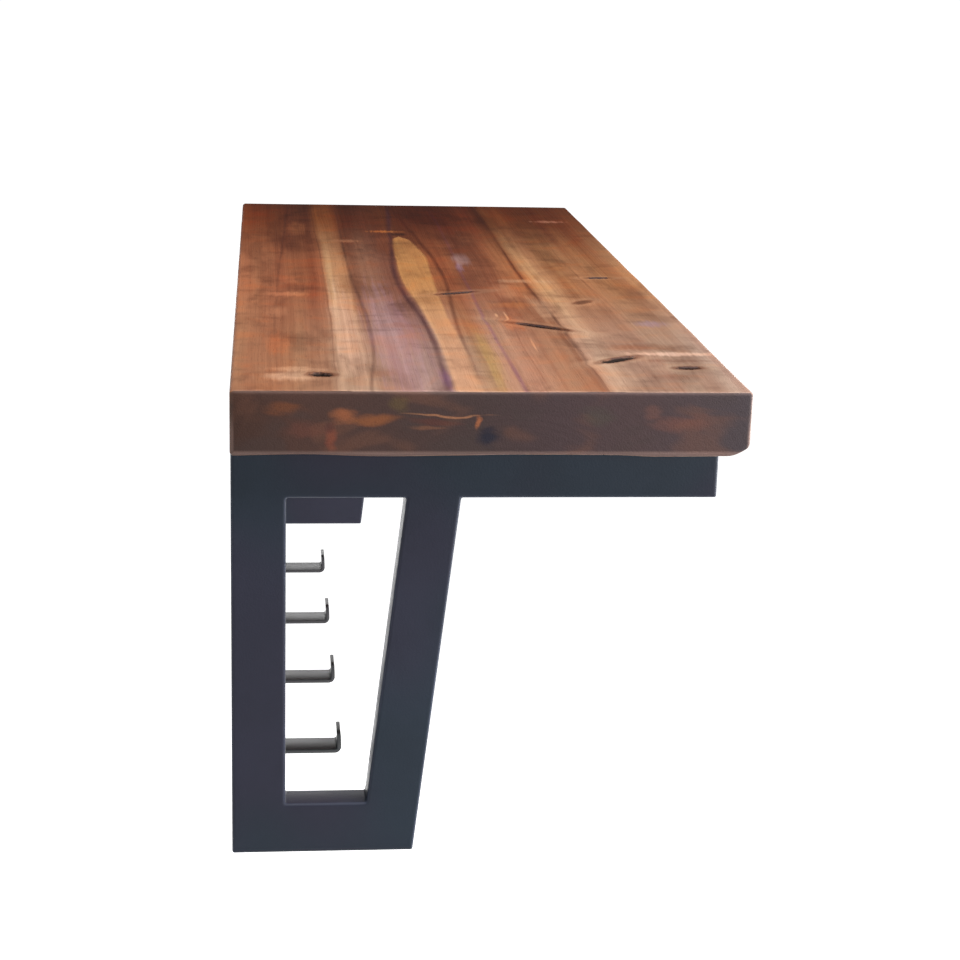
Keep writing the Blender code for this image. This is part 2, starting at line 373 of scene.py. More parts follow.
FAR_BANDS = (
    (-0.20, (70, 40, 28)),
    (0.00, (128, 76, 49)),
    (0.08, (102, 58, 37)),
    (0.14, (92, 56, 44)),
    (0.195, (84, 48, 37)),
    (0.218, (119, 75, 46)),
    (0.262, (118, 75, 47)),
    (0.290, (76, 41, 26)),
    (0.350, (86, 49, 37)),
    (0.410, (88, 50, 34)),
    (0.480, (82, 43, 29)),
    (0.560, (76, 34, 22)),
    (0.610, (80, 41, 27)),
    (0.665, (98, 54, 38)),
    (0.700, (74, 38, 24)),
    (0.730, (113, 71, 46)),
    (0.765, (110, 69, 45)),
    (0.800, (92, 54, 34)),
    (0.880, (100, 57, 36)),
    (1.000, (110, 72, 54)),
)

# The bands start behind the wall edge, for the grain that leans into the plank from there.
BANDS_START = -0.2

# What the bands' colours are multiplied by, so that they look right in the studio's light.
NEAR_TINT = (0.88, 0.92, 0.95)
MIDDLE_TINT = (1.11, 1.17, 1.12)
FAR_TINT = (1.28, 0.96, 0.63)

# Thin dark lines that run along the grain: their places across the seat at five stations along it, half
# width, strength at the near end, middle and far end, and colour.
LINE_STATIONS = (0.0, 0.25, 0.5, 0.75, 1.0)
DARK_LINES = (
    ((0.205, 0.207, 0.206, 0.206, 0.205), 0.003, (0.15, 0.45, 0.35), (92, 48, 30)),
    ((0.266, 0.292, 0.278, 0.277, 0.280), 0.008, (0.46, 0.55, 0.45), (78, 42, 34)),
    ((0.410, 0.412, 0.388, 0.416, 0.440), 0.012, (0.70, 0.80, 0.65), (72, 38, 46)),
    ((0.478, 0.482, 0.505, 0.482, 0.440), 0.009, (0.25, 0.70, 0.60), (84, 36, 20)),
    ((0.560, 0.552, 0.556, 0.560, 0.560), 0.008, (0.62, 0.26, 0.00), (122, 76, 108)),
    ((0.604, 0.606, 0.640, 0.640, 0.640), 0.003, (0.35, 0.25, 0.20), (116, 58, 32)),
    ((0.710, 0.713, 0.703, 0.706, 0.706), 0.008, (0.40, 0.65, 0.65), (74, 32, 18)),
    ((0.100, 0.090, 0.100, 0.118, 0.140), 0.006, (0.00, 0.40, 0.40), (78, 42, 30)),
    ((0.860, 0.870, 0.850, 0.842, 0.850), 0.004, (0.10, 0.25, 0.30), (88, 46, 28)),
)

# The golden streak: its place and its half width across the seat, at shares of the length.
GOLD_STREAK_CENTRE = (
    (0.0, 0.452), (0.2, 0.449), (0.35, 0.443), (0.5, 0.440),
    (0.62, 0.446), (0.72, 0.440), (0.8, 0.438), (1.0, 0.44)
)
GOLD_STREAK_WIDTH = (
    (0.0, 0.027), (0.15, 0.026), (0.28, 0.025), (0.38, 0.031), (0.5, 0.039), (0.6, 0.040), (0.66, 0.034),
    (0.70, 0.029), (0.728, 0.022), (0.742, 0.010), (0.75, 0.0), (1.0, 0.0)
)

# Soft patches on the top: share of the length and of the depth, half sizes in the same shares, strength
# and colour.
TOP_PATCHES = (
    (0.050, 0.115, 0.020, 0.070, 0.55, (222, 178, 146)),
    (0.075, 0.130, 0.010, 0.075, 0.45, (214, 168, 134)),
    (0.062, 0.090, 0.006, 0.050, 0.40, (110, 66, 44)),
    (0.138, 0.905, 0.010, 0.110, 0.75, (236, 198, 176)),
    (0.165, 0.860, 0.016, 0.110, 0.50, (134, 90, 64)),
    (0.112, 0.900, 0.007, 0.080, 0.45, (120, 78, 58)),
    (0.052, 0.870, 0.014, 0.050, 0.45, (128, 84, 62)),
    (0.175, 0.095, 0.050, 0.035, 0.30, (206, 116, 62)),
    (0.265, 0.920, 0.018, 0.045, 0.50, (146, 122, 138)),
    (0.340, 0.700, 0.070, 0.035, 0.55, (214, 172, 138)),
    (0.420, 0.640, 0.050, 0.030, 0.35, (196, 150, 116)),
    (0.310, 0.095, 0.030, 0.030, 0.35, (206, 150, 112)),
    (0.800, 0.160, 0.050, 0.035, 0.45, (172, 104, 66)),
    (0.690, 0.385, 0.070, 0.030, 0.35, (166, 98, 62)),
    (0.120, 0.520, 0.140, 0.018, 0.50, (182, 148, 88)),
    (0.035, 0.412, 0.050, 0.012, 0.50, (122, 86, 120)),
    (0.220, 0.335, 0.260, 0.060, 0.38, (166, 132, 148)),
    (0.250, 0.238, 0.230, 0.036, 0.50, (224, 186, 160)),
    (0.475, 0.700, 0.013, 0.090, 0.45, (206, 164, 130)),
    (0.600, 0.575, 0.045, 0.030, 0.45, (176, 152, 152)),
    (0.550, 0.560, 0.030, 0.012, 0.45, (160, 130, 150)),
    (0.715, 0.290, 0.012, 0.045, 0.40, (196, 140, 104)),
    (0.875, 0.900, 0.010, 0.060, 0.55, (206, 140, 112)),
    (0.785, 0.405, 0.010, 0.055, 0.60, (202, 126, 66)),
    (0.765, 0.440, 0.012, 0.026, 0.80, (58, 28, 18)),
    (0.290, 0.605, 0.030, 0.0035, 0.60, (232, 180, 138)),
    (0.300, 0.585, 0.012, 0.0035, 0.60, (232, 180, 138)),
    (0.170, 0.625, 0.035, 0.0035, 0.50, (226, 172, 132)),
    (0.430, 0.140, 0.030, 0.045, 0.45, (104, 50, 32)),
    (0.395, 0.115, 0.014, 0.050, 0.50, (210, 140, 100)),
    (0.470, 0.120, 0.020, 0.030, 0.40, (190, 112, 74)),
    (0.350, 0.640, 0.020, 0.060, 0.45, (206, 132, 76)),
    (0.260, 0.610, 0.035, 0.030, 0.50, (200, 112, 58)),
    (0.700, 0.120, 0.080, 0.040, 0.40, (96, 44, 30)),
)

# Patches on the end grain: share of the depth and of the thickness, half sizes, strength and colour.
END_PATCHES = (
    (0.100, 0.270, 0.045, 0.120, 0.70, (120, 66, 34)),
    (0.035, 0.230, 0.030, 0.250, 0.40, (100, 62, 46)),
    (0.215, 0.370, 0.030, 0.140, 0.80, (170, 98, 58)),
    (0.270, 0.460, 0.050, 0.100, 0.75, (150, 86, 44)),
    (0.320, 0.230, 0.022, 0.160, 0.45, (104, 84, 44)),
    (0.405, 0.385, 0.085, 0.022, 0.75, (184, 124, 86)),
    (0.375, 0.590, 0.040, 0.035, 0.45, (150, 96, 66)),
    (0.390, 0.490, 0.060, 0.070, 0.50, (96, 46, 34)),
    (0.468, 0.490, 0.006, 0.130, 0.80, (178, 104, 62)),
    (0.490, 0.720, 0.026, 0.190, 1.15, (26, 23, 38)),
    (0.192, 0.740, 0.012, 0.240, 0.62, (146, 72, 48)),
    (0.188, 0.560, 0.010, 0.100, 0.60, (62, 34, 34)),
    (0.150, 0.600, 0.050, 0.150, 0.45, (112, 62, 48)),
    (0.700, 0.400, 0.040, 0.160, 0.35, (70, 70, 56)),
    (0.860, 0.500, 0.070, 0.180, 0.55, (120, 72, 58)),
    (0.800, 0.300, 0.020, 0.130, 0.35, (126, 80, 66)),
)

# Each figure in the top's wood: the noise it follows, from which of its values to which, from what
# strength to what strength, and its colour and blending.
TOP_FIGURES = (
    ("broad", (0.25, 0.75), (0.0, 0.23), (110, 62, 40), "MULTIPLY"),
    ("broad", (0.55, 0.80), (0.0, 0.16), (214, 170, 132), "SOFT_LIGHT"),
    ("hue", (0.35, 0.65), (0.0, 0.34), (150, 112, 116), "SOFT_LIGHT"),
    ("cloud", (0.32, 0.55), (0.34, 0.0), (108, 58, 40), "MULTIPLY"),
    ("cloud", (0.52, 0.75), (0.0, 0.34), (222, 168, 120), "SOFT_LIGHT"),
    ("curl", (0.50, 0.72), (0.0, 0.28), (226, 186, 150), "SOFT_LIGHT"),
    ("curl", (0.28, 0.46), (0.22, 0.0), (96, 52, 36), "MULTIPLY"),
    ("fine", (0.3, 0.7), (0.0, 0.08), (60, 30, 20), "MULTIPLY"),
)

# The end grain's colours from the wall to the front.
END_BANDS = (
    (0.0, (60, 36, 27)),
    (0.12, (74, 48, 40)),
    (0.45, (64, 47, 45)),
    (0.62, (67, 50, 52)),
    (0.78, (72, 54, 55)),
    (1.0, (68, 58, 62)),
)

# How far the grain moves towards the wall from the plank's top to its bottom, as a share of the depth.
GRAIN_LEAN = 0.14
# How far a knot pushes the grain aside, as a share of the distance to its middle.
KNOT_PARTING = 0.35
# The heart of the tree, (y, z), about which the rings on the plank's ends run.
END_GRAIN_CENTRE = (-0.19, 0.20)
END_PATCH_STRENGTH = 0.85
CLOSED_HEART_STRENGTH = 0.35
WOOD_RELIEF = 0.0004
WOOD_GLOSS = 0.28


def wood_material(low, high):
    """The plank: streaked along its length, ringed on its ends."""
    s = Shader("seat_wood")
    place, normal = s.place()
    x, y, z = s.split(place)
    u = s.span(x, low.x, high.x, smooth=False)
    v = s.span(y, high.y, low.y, smooth=False)
    t = s.span(z, high.z, low.z, smooth=False)
    length, depth = high.x - low.x, high.y - low.y

    # The grain parts round each knot, as if it were a stone in a stream.
    parted = 0.0
    cores = {}
    for name, (ku, kv, along, across, _, turn) in KNOTS.items():
        du = s.times(s.less(u, ku), length)
        dv = s.times(s.less(v, kv), depth)
        cosine, sine = math.cos(math.radians(turn)), math.sin(math.radians(turn))
        a = s.add(s.times(du, cosine), s.times(dv, sine))
        b = s.add(s.times(dv, cosine), s.times(du, -sine))
        along_share = s.times(s.math("ABSOLUTE", a), 2 / along)
        across_share = s.times(s.math("ABSOLUTE", b), 2 / across)
        r = s.reach(along_share, across_share)
        cores[name] = r
        near = s.math("EXPONENT", s.times(s.math("POWER", s.times(r, 0.7), 2.0), -1.0))
        parted = s.add(parted, s.times(near, s.less(kv, v), KNOT_PARTING))

    waves = s.add(
        s.swing(s.stretch(place, (2.0, 9.0, 9.0)), 0.014, detail=1.0),
        s.swing(s.stretch(place, (7.0, 40.0, 40.0)), 0.006, detail=2.0),
    )
    grain = s.add(v, s.times(t, -GRAIN_LEAN), waves, parted)
    band_place = s.span(grain, BANDS_START, 1.0, smooth=False)

    def bands(rows, tint):
        stops = []
        for across, screen_colour in rows:
            tinted = tuple(part * share for part, share in zip(srgb(*screen_colour), tint))
            stops.append(((across - BANDS_START) / (1 - BANDS_START), tinted))
        return s.ramp(band_place, stops)

    # From the near end's colours to the far end's: this blend carries the painted sheen at the near end and
    # the painted fall-off of light towards the far end.
    to_middle = s.span(u, 0.12, 0.48)
    to_far = s.span(u, 0.52, 0.90)
    colour = s.mix(to_middle, bands(NEAR_BANDS, NEAR_TINT), bands(MIDDLE_BANDS, MIDDLE_TINT))
    colour = s.mix(to_far, colour, bands(FAR_BANDS, FAR_TINT))

    # The golden streak, which ends in a point three quarters of the way along.
    streak_offset = s.apart(grain, s.curve(u, GOLD_STREAK_CENTRE))
    streak_width = s.curve(u, GOLD_STREAK_WIDTH)
    streak = s.span(s.less(streak_width, streak_offset), -0.004, 0.005)
    # The streak is paler and greyer at the near end: partly a painted sheen, as in the bands.
    streak_colour = s.mix(s.span(u, 0.1, 0.5), srgb(196, 154, 122), srgb(193, 140, 86))
    colour = s.mix(streak, colour, streak_colour)

    for centres, width, (near_strength, middle_strength, far_strength), ink in DARK_LINES:
        centre = s.curve(u, tuple(zip(LINE_STATIONS, centres)))
        core = s.span(s.apart(grain, centre), 0.0, width, 1.0, 0.0)
        strength = s.curve(u, ((0.0, near_strength), (0.5, middle_strength), (1.0, far_strength)))
        broken = s.span(s.noise(s.join(s.times(x, 9.0), centre, 0.3), detail=1.0), 0.3, 0.6, 0.55, 1.0)
        colour = s.mix(s.times(core, strength, broken), colour, srgb(*ink))

    # Patches, drawn out along the fibres.
    drawn = s.swing(s.join(s.times(x, 14.0), s.times(grain, 120.0), 0.7), 0.65, detail=2.0)
    patch_fade = s.span(t, 0.0, 0.5, 1.0, 0.2)
    for along, across, half_along, half_across, strength, ink in TOP_PATCHES:
        patch = s.spot(u, grain, (along, across), (half_along, half_across), drawn)
        colour = s.mix(s.times(patch, patch_fade, strength), colour, srgb(*ink))

    # Fibres: broad pale and dark ones, then fine ones, then short open pores.
    broad_place = s.join(s.times(x, 2.2), s.times(grain, 95.0), s.times(z, 45.0))
    broad = s.noise(broad_place, detail=3.0, roughness=0.6)
    fine = s.noise(s.join(s.times(x, 7.0), s.times(grain, 420.0), s.times(z, 220.0)), detail=2.0)
    pores = s.noise(s.join(s.times(x, 60.0), s.times(grain, 700.0), s.times(z, 400.0)), detail=1.0)
    pore = s.span(pores, 0.66, 0.74)
    hue = s.noise(s.join(s.times(x, 1.6), s.times(grain, 17.0), s.times(z, 9.0)), detail=1.0)
    cloud = s.noise(s.stretch(place, (9.0, 22.0, 22.0)), detail=3.0, roughness=0.6, distortion=0.5)
    # Curl: light and dark bands across the grain. The curly fibres are real figure; the bands' contrast is
    # partly a painted sheen (chatoyance), which in real wood shifts with the light.
    curl = s.noise(s.join(s.times(x, 46.0), s.times(grain, 9.0), 4.0), detail=2.0, distortion=0.3)
    noises = {"broad": broad, "fine": fine, "hue": hue, "cloud": cloud, "curl": curl}
    for figure, values, strengths, ink, blend in TOP_FIGURES:
        colour = s.mix(s.span(noises[figure], *values, *strengths), colour, srgb(*ink), blend)
    colour = s.mix(s.times(pore, 0.22), colour, srgb(70, 38, 26))

    # The last eighth of the plank darkens towards its far end: painted shade, as if the light fell off
    # there.
    colour = s.mix(s.span(u, 0.88, 1.0, 0.0, 0.30), colour, srgb(46, 22, 15))

    # Knots: a dark heart, a brown ring, and a pale halo outside it.
    rough_rim = s.swing(s.stretch(place, (160.0, 160.0, 160.0)), 0.22, detail=2.0)
    for name, r in cores.items():
        ragged = s.add(r, rough_rim)
        halo = s.times(s.span(ragged, 1.1, 1.6), s.span(ragged, 1.9, 3.4, 1.0, 0.0))
        colour = s.mix(s.times(halo, 0.08), colour, srgb(222, 184, 150))
        ring = s.span(ragged, 1.05, 1.75, 1.0, 0.0)
        colour = s.mix(s.times(ring, 0.62), colour, srgb(104, 62, 42))
        heart = s.span(ragged, 0.75, 1.10, 1.0, 0.0)
        heart_strength = 1.0 if KNOTS[name][4] else CLOSED_HEART_STRENGTH
        colour = s.mix(s.times(heart, heart_strength), colour, srgb(42, 24, 17))

    # Inside a pit the wood is dry and rough, and painted nearly black: partly the knot's own dark wood,
    # partly painted shade in the hole.
    inside = s.times(
        s.span(t, 0.018, 0.035),
        s.span(t, 0.90, 0.96, 1.0, 0.0),
        s.span(v, 0.012, 0.020),
        s.span(v, 0.980, 0.988, 1.0, 0.0),
        s.span(u, 0.006, 0.009),
        s.span(u, 0.991, 0.994, 1.0, 0.0),
    )
    colour = s.mix(s.times(inside, 0.93), colour, srgb(28, 16, 11))

    # End grain: rings about a heart below the plank, with fine dark pores.
    from_heart = s.reach(s.less(y, END_GRAIN_CENTRE[0]), s.less(z, END_GRAIN_CENTRE[1]))
    ring_place = s.add(from_heart, s.swing(s.stretch(place, (14.0, 14.0, 14.0)), 0.006, detail=2.0))
    rings = s.noise(s.join(s.times(ring_place, 260.0), 0.0, 0.0), detail=3.0, roughness=0.65)
    blotches = s.noise(s.stretch(place, (20.0, 20.0, 46.0)), detail=2.0, distortion=0.4)
    flecks = s.noise(s.stretch(place, (900.0, 900.0, 900.0)), detail=1.0)
    end = s.ramp(v, [(spot, srgb(*screen_colour)) for spot, screen_colour in END_BANDS])
    end = s.mix(s.span(blotches, 0.52, 0.68, 0.0, 0.30), end, srgb(118, 76, 56))
    end = s.mix(s.span(blotches, 0.30, 0.46, 0.4, 0.0), end, srgb(62, 50, 48))
    smudged = s.swing(s.stretch(place, (70.0, 70.0, 190.0)), 0.55, detail=4.0)
    drift_across = s.add(v, s.swing(s.stretch(place, (30.0, 30.0, 90.0)), 0.012, detail=2.0))
    aside = s.shift(s.stretch(place, (30.0, 30.0, 90.0)), (9.0, 0.0, 0.0))
    drift_down = s.add(t, s.swing(aside, 0.09, detail=2.0))
    for across, down, half_across, half_down, strength, ink in END_PATCHES:
        patch = s.spot(drift_across, drift_down, (across, down), (half_across, half_down), smudged)
        end = s.mix(s.times(patch, END_PATCH_STRENGTH * strength), end, srgb(*ink))
    end = s.mix(s.span(rings, 0.35, 0.65, 0.0, 0.09), end, srgb(46, 30, 26), "MULTIPLY")
    end = s.mix(s.span(flecks, 0.55, 0.7, 0.0, 0.20), end, srgb(40, 26, 22))
    normal_x = s.math("ABSOLUTE", s.split(normal)[0])
    on_end = s.times(s.span(normal_x, 0.55, 0.80), s.less(1.0, inside))
    colour = s.mix(on_end, colour, end)

    # The rounded arrises are painted paler: a painted highlight, faint along the top arris and stronger
    # along the bottom one.
    near_x = s.span(s.math("ABSOLUTE", x), high.x - 0.0035, high.x - 0.0008)
    near_y = s.span(s.apart(v, 0.5), 0.490, 0.4975)
    near_z = s.span(s.apart(t, 0.5), 0.42, 0.485)
    arris_highlight = s.math("MAXIMUM", s.times(near_x, near_y), s.times(near_y, near_z))
    arris_highlight = s.math("MAXIMUM", arris_highlight, s.times(near_x, near_z))
    colour = s.mix(s.times(arris_highlight, s.span(t, 0.3, 0.7, 0.07, 0.30)), colour, srgb(205, 168, 156))

    height = s.add(s.times(broad, 0.35), s.times(fine, 0.5), s.times(pore, -0.7))
    end_height = s.add(s.times(rings, 0.6), s.times(flecks, -0.8))
    relief = s.add(s.times(height, s.less(1.0, on_end)), s.times(end_height, on_end))
    s.set(
        Base_Color=colour,
        Roughness=s.add(s.span(fine, 0.2, 0.8, 0.40, 0.56), s.times(on_end, 0.18), s.times(inside, 0.4)),
        Normal=s.bump(relief, WOOD_RELIEF, 0.55),
    )
    s.surface.inputs["Specular IOR Level"].default_value = WOOD_GLOSS
    return s.material


def powder_coat(name, colour, gloss, edge_highlight_gain=2.4, peel=0.00012):
    """Satin powder coat: faint orange peel, a little mottling, and edges painted paler as a painted
    highlight.
    """
    s = Shader(name)
    place, normal = s.place()
    lumps = s.noise(place, scale=620.0, detail=1.0)
    mottle = s.noise(place, scale=18.0, detail=3.0)
    grit = s.noise(place, scale=2600.0, detail=0.0)
    normal_x = s.math("ABSOLUTE", s.split(normal)[0])
    # Painted highlight: the rounded edges beside the faces that look along the seat are painted paler, as if
    # they caught the light.
    edge = s.times(s.span(normal_x, 0.12, 0.45), s.span(normal_x, 0.80, 0.98, 1.0, 0.0))
    paler = tuple(min(1.0, edge_highlight_gain * value) for value in colour)
    greener = tuple(share * value for share, value in zip((0.84, 1.03, 0.98), colour))
    redder = tuple(share * value for share, value in zip((1.10, 0.96, 1.02), colour))
    drift = s.noise(place, scale=6.5, detail=1.0)
    base = s.mix(s.span(drift, 0.40, 0.60), greener, redder)
    base = s.mix(s.span(mottle, 0.3, 0.7, 0.14, 0.0), base, (0.0, 0.0, 0.0))
    base = s.mix(s.times(edge, s.span(mottle, 0.35, 0.7, 0.25, 0.7)), base, paler)
    s.set(
        Base_Color=base,
        Roughness=s.add(s.span(mottle, 0.3, 0.7, 0.42, 0.50), s.times(grit, 0.05)),
        Normal=s.bump(s.add(lumps, s.times(grit, 0.25)), peel, 0.7),
    )
    s.surface.inputs["Specular IOR Level"].default_value = gloss
    return s.material


def screw_metal(name, colour, roughness):
    """Blackened zinc: turning marks, and brighter where it is rubbed."""
    s = Shader(name)
    place, _ = s.place()
    tarnish = s.noise(place, scale=420.0, detail=3.0)
    scratch = s.noise(s.stretch(place, (3000.0, 500.0, 3000.0)), detail=1.0)
    paler = tuple(min(1.0, 1.9 * value) for value in colour)
    s.set(
        Base_Color=s.mix(s.span(tarnish, 0.35, 0.7), colour, paler),
        Roughness=s.span(tarnish, 0.3, 0.7, roughness, roughness + 0.18),
        Normal=s.bump(scratch, 0.00004, 0.6),
    )
    s.surface.inputs["Metallic"].default_value = 0.9
    return s.material


# ------------------------------------------------------------------------------------------------ seat

SEAT_GRID = 0.006
SEAT_ARRIS = 0.0028
WANE_LENGTH = 0.34
WANE_WIDTH = 0.014
WANE_HEIGHT = 0.0062
WANE_CUTS = (0.35, 0.55, 0.8, 1.0)
SEAT_WAVE = 0.00022
BOTTOM_WAVE = 0.0006
PIT_STEPS = 40
PIT_ABOVE = 0.004
PIT_LIP = 0.0008

# The splinter missing from the near end's lower edge: its place from the front face, size, and how large
# it is at each depth into the wood.
CHIP_FROM_FRONT = 0.1016
CHIP_HALF_WIDTH = 0.0019
CHIP_HEIGHT = 0.0011
CHIP_BELOW = 0.002
CHIP_SCALES = ((-0.002, 1.4), (0.0, 1.0), (0.0035, 0.2))

# The near end's lower edge isn't straight: how far it hangs down, at shares of the depth from the wall.
# It is level again before it reaches the bracket.
EDGE_SAG = (
    (0.0, 0.0009), (0.14, 0.0), (0.31, 0.0017), (0.59, 0.0002), (0.73, 0.0003), (0.82, 0.0016), (1.0, 0.0012)
)
EDGE_SAG_LENGTH = 0.022


def grid_lines(low, high):
    """Places from low to high: at even angles round each rounded end, then evenly spaced between."""
    rounding = [SEAT_ARRIS * (1 - math.tan(math.radians(angle))) for angle in (0, 15, 30)]
    inner_low, inner_high = low + SEAT_ARRIS, high - SEAT_ARRIS
    steps = round((inner_high - inner_low) / SEAT_GRID)
    even = [inner_low + (inner_high - inner_low) * i / steps for i in range(steps + 1)]
    return [low + offset for offset in rounding[1:]] + even + [high - offset for offset in rounding[1:]]


def edge_sag(share):
    """How far the near end's lower edge hangs down, at a share of the depth, eased between the points."""
    for (start, first), (stop, second) in zip(EDGE_SAG, EDGE_SAG[1:]):
        if share <= stop:
            part = max(0.0, (share - start) / (stop - start))
            return first + (second - first) * part * part * (3 - 2 * part)
    return EDGE_SAG[-1][1]


def seat_shape(low, high):
    """The plank with rounded arrises, a faint hand-planed wave, and a waney lower front corner."""
    bm = bmesh.new()
    bmesh.ops.create_cube(bm, size=1.0)
    middle, size = (low + high) / 2, high - low
    bmesh.ops.transform(bm, matrix=Matrix.LocRotScale(middle, None, size), verts=bm.verts)
    for axis in range(3):
        normal = Vector((axis == 0, axis == 1, axis == 2))
        wane_size = (0.0, WANE_WIDTH, WANE_HEIGHT)[axis]
        wane_lines = [low[axis] + wane_size * share for share in WANE_CUTS] if wane_size else []
        for spot in grid_lines(low[axis], high[axis]) + wane_lines:
            everything = bm.verts[:] + bm.edges[:] + bm.faces[:]
            bmesh.ops.bisect_plane(bm, geom=everything, plane_co=normal * spot, plane_no=normal, dist=1e-7)
    for vert in bm.verts:
        point = vert.co.copy()
        radius = SEAT_ARRIS * (1 + 0.3 * noise.noise(point * 18))
        inner = Vector(
            min(max(point[axis], low[axis] + radius), high[axis] - radius) for axis in range(3)
        )
        outward = point - inner
        if outward.length > 1e-9:
            point = inner + outward.normalized() * radius
        wave = noise.noise(Vector((point.x * 5, point.y * 14, 3.1)))
        if vert.co.z > high.z - 1e-6:
            point.z -= SEAT_WAVE * (0.6 + 0.5 * wave)
        if vert.co.z < low.z + 1e-6:
            point.z += BOTTOM_WAVE * max(0.0, noise.noise(Vector((point.x * 9, point.y * 16, 7.7))))
        inward = (point.x - low.x) / EDGE_SAG_LENGTH
        if inward < 1:
            level = max(0.0, 1 - (point.z - low.z) / (0.5 * size.z))
            point.z -= edge_sag((high.y - point.y) / size.y) * level * (1 - inward * inward)
        if vert.co.y < low.y + 1e-6:
            point.y += SEAT_WAVE * (1 + wave)
        if abs(vert.co.x) > high.x - 1e-6:
            ripple = noise.noise(Vector((point.y * 22, point.z * 30, vert.co.x)))
            point.x -= math.copysign(SEAT_WAVE * (1 + ripple), point.x)
        # The wane: bark side of the log, planed flat except at this corner.
        along = (point.x - low.x) / WANE_LENGTH
        if along < 1:
            fade = (1 - along) ** 1.3 * (1 + 0.25 * noise.noise(Vector((point.x * 25, 0, 0))))
            across = 1 - (point.y - low.y) / (WANE_WIDTH * (0.4 + 0.6 * fade))
            rise = 1 - (point.z - low.z) / (2 * WANE_HEIGHT)
            if across > 0 and rise > 0:
                point.z += WANE_HEIGHT * fade * across**1.7 * min(1.0, rise * 1.2)
        vert.co = point
    return bm


def pit(name, low, high):
    """A ragged plug that tapers downwards, to cut one knot hole or crack out of the top."""
    u, v, along, across, depth, turn = KNOTS[name]
    centre = Vector((low.x + u * (high.x - low.x), high.y - v * (high.y - low.y), high.z))
    seed = len(name) * 3.7
    cosine, sine = math.cos(math.radians(turn)), math.sin(math.radians(turn))
    scales = ((-PIT_ABOVE, 1.30), (0.0, 1.04), (PIT_LIP, 0.96), (0.4 * depth, 0.84), (depth, 0.50))
    rings = []
    for drop, scale in scales:
        ring = []
        for i in range(PIT_STEPS):
            angle = 2 * math.pi * i / PIT_STEPS
            wobble = noise.noise(Vector((2.2 * math.cos(angle), 2.2 * math.sin(angle), seed)))
            wobble += 0.5 * noise.noise(Vector((6 * math.cos(angle), 6 * math.sin(angle), seed + 60 * drop)))
            radius = scale * (1 + 0.30 * wobble)
            a, b = radius * along / 2 * math.cos(angle), radius * across / 2 * math.sin(angle)
            ring.append(centre + Vector((a * cosine - b * sine, -(a * sine + b * cosine), -drop)))
        rings.append(ring)
    return loft(rings)


def edge_chip(low):
    """A small splinter missing from the lower near edge."""
    middle_y = low.y + CHIP_FROM_FRONT
    rings = []
    for inward, scale in CHIP_SCALES:
        half, tall = CHIP_HALF_WIDTH * scale, CHIP_HEIGHT * scale
        outline = ((-half, -CHIP_BELOW), (half, -CHIP_BELOW), (0.6 * half, tall), (-0.2 * half, 0.8 * tall))
        rings.append([Vector((low.x + inward, middle_y + y, low.z + z)) for y, z in outline])
    return loft(rings)


def make_seat():
    low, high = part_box("seat_slab")
    open_knots = [name for name, (*_, deep, _) in KNOTS.items() if deep]
    cutters = [pit(name, low, high) for name in open_knots] + [edge_chip(low)]
    bm = cut(seat_shape(low, high), cutters)
    finish_piece(bm, "plank_seat", wood_material(low, high), ["seat_slab"])


# -------------------------------------------------------------------------------------------- brackets

TUBE_WALL = 0.0021
TUBE_INSIDE = 0.0205
TUBE_EDGE = 0.0024
TUBE_EDGE_STEPS = 4
FLAT_RIM = 0.0006
WINDOW_FILLET = 0.0016
OUTER_ROUND = 0.0018
TINY_ROUND = 0.0003
CORNER_STEPS = 4
PART_MARGIN = 0.005
BRACE_CUT_DROP = 0.0005
WALL_HOLE_DROPS = (0.0747, 0.2247)
WALL_HOLE_RADIUS = 0.004
WALL_OVERRUN = 0.002
HOLE_FLARE = 0.0006
SCREW_WAY_RADIUS = 0.0075
SCREW_BORE_RADIUS = 0.0033


